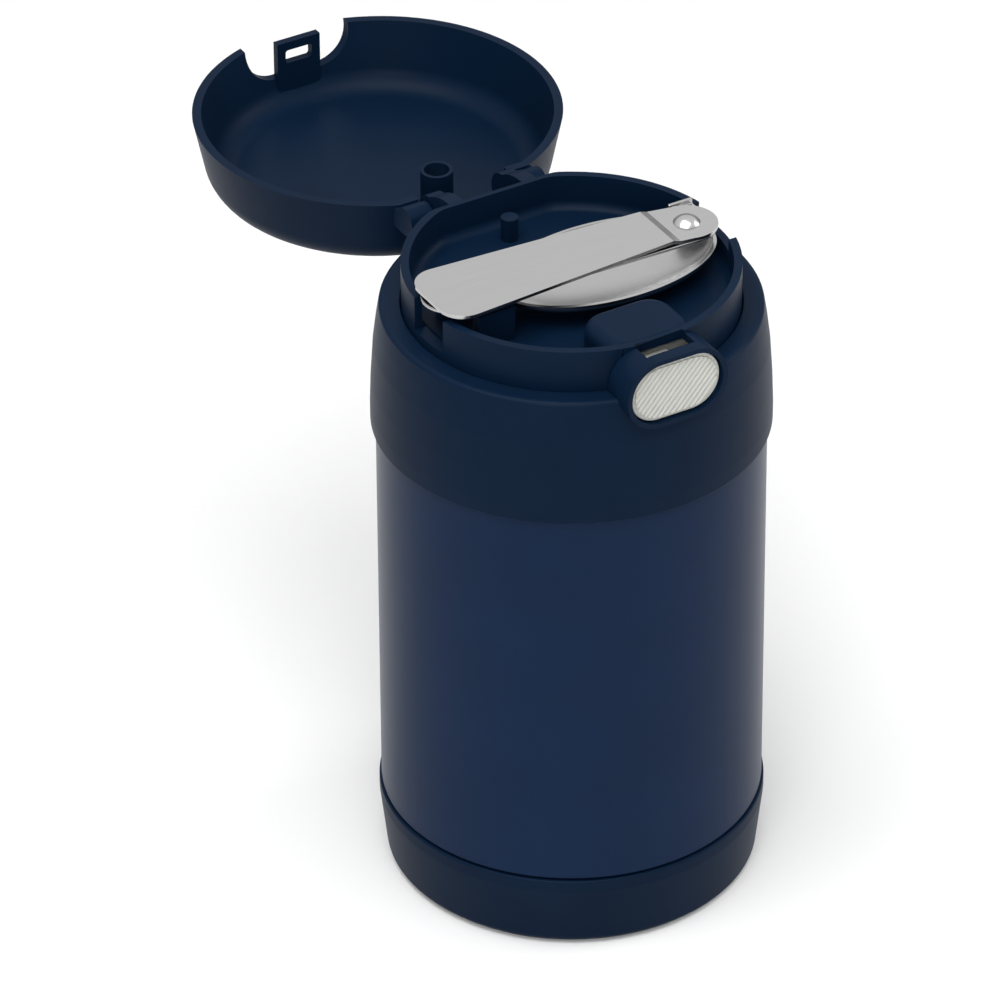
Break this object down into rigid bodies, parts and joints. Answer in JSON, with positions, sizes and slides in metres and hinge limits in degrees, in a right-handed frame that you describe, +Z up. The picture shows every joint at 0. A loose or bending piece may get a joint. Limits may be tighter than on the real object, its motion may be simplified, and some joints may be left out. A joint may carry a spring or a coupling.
{
  "type": "insulated food jar",
  "caption": "Wide-mouth vacuum food jar with a screw-on lid, a flip-open cover with push button latch, and a folding spoon stowed in the lid.",
  "frame": {"origin": "centre of the flat underside of the base cap, where the jar stands on a table", "axes": "+Z up along the jar's axis; the push button faces -Y and the cover's hinge is on the +Y side"},
  "size_m": [0.0908, 0.1733, 0.1613],
  "materials": {
    "navy_plastic": "fine matte moulded",
    "navy_paint": "satin powder coat",
    "steel": "satin",
    "spoon_steel": "polished satin",
    "foil": "bright",
    "foam": "rigid foam",
    "inner_plastic": "smooth moulded",
    "silicone": "soft matte",
    "grey_plastic": "ribbed matte"
  },
  "bodies": {
    "flask": {"base_cap": "navy_plastic", "outer_shell": "navy_paint", "bottom_plate": "steel", "inner_liner": "steel", "radiation_foil": "foil", "getter": "steel", "vacuum_seal": "steel"},
    "lid": {"lid_collar": "navy_plastic", "lid_tray": "navy_plastic", "lid_foam": "foam", "inner_lid": "inner_plastic", "lid_gasket": "silicone", "hinge_pin_left": "steel", "hinge_pin_right": "steel", "button_spring": "steel"},
    "cover": {"cover": "navy_plastic", "cover_bumper": "silicone"},
    "button": {"latch_button": "grey_plastic"},
    "spoon_bowl": {"spoon_bowl": "spoon_steel", "bowl_rivet": "spoon_steel"},
    "spoon_link": {"spoon_link": "spoon_steel", "handle_rivet": "spoon_steel"},
    "spoon_handle": {"spoon_handle": "spoon_steel"}
  },
  "joints": [
    {"name": "lid_lift", "type": "slide", "parent": "flask", "child": "lid", "axis": [0, 0, 1], "range_m": [0, 0.08]},
    {"name": "cover_hinge", "type": "hinge", "parent": "lid", "child": "cover", "pos_m": [0, 0.0435, 0.1505], "axis": [-1, 0, 0], "range_deg": [-180, 0]},
    {"name": "button_press", "type": "slide", "parent": "lid", "child": "button", "axis": [0, 1, 0], "range_m": [0, 0.0015], "stiffness_N_per_m": 1500, "deforming": ["button_spring"]},
    {"name": "spoon_lift", "type": "slide", "parent": "lid", "child": "spoon_bowl", "axis": [0, 0, 1], "range_m": [0, 0.05]},
    {"name": "link_fold", "type": "hinge", "parent": "spoon_bowl", "child": "spoon_link", "pos_m": [-0.031, 0, 0.1583], "axis": [0, 0, -1], "range_deg": [0, 180]},
    {"name": "handle_fold", "type": "hinge", "parent": "spoon_link", "child": "spoon_handle", "pos_m": [0.029, -0.0018, 0.1592], "axis": [0, 0, 1], "range_deg": [0, 180]}
  ]
}
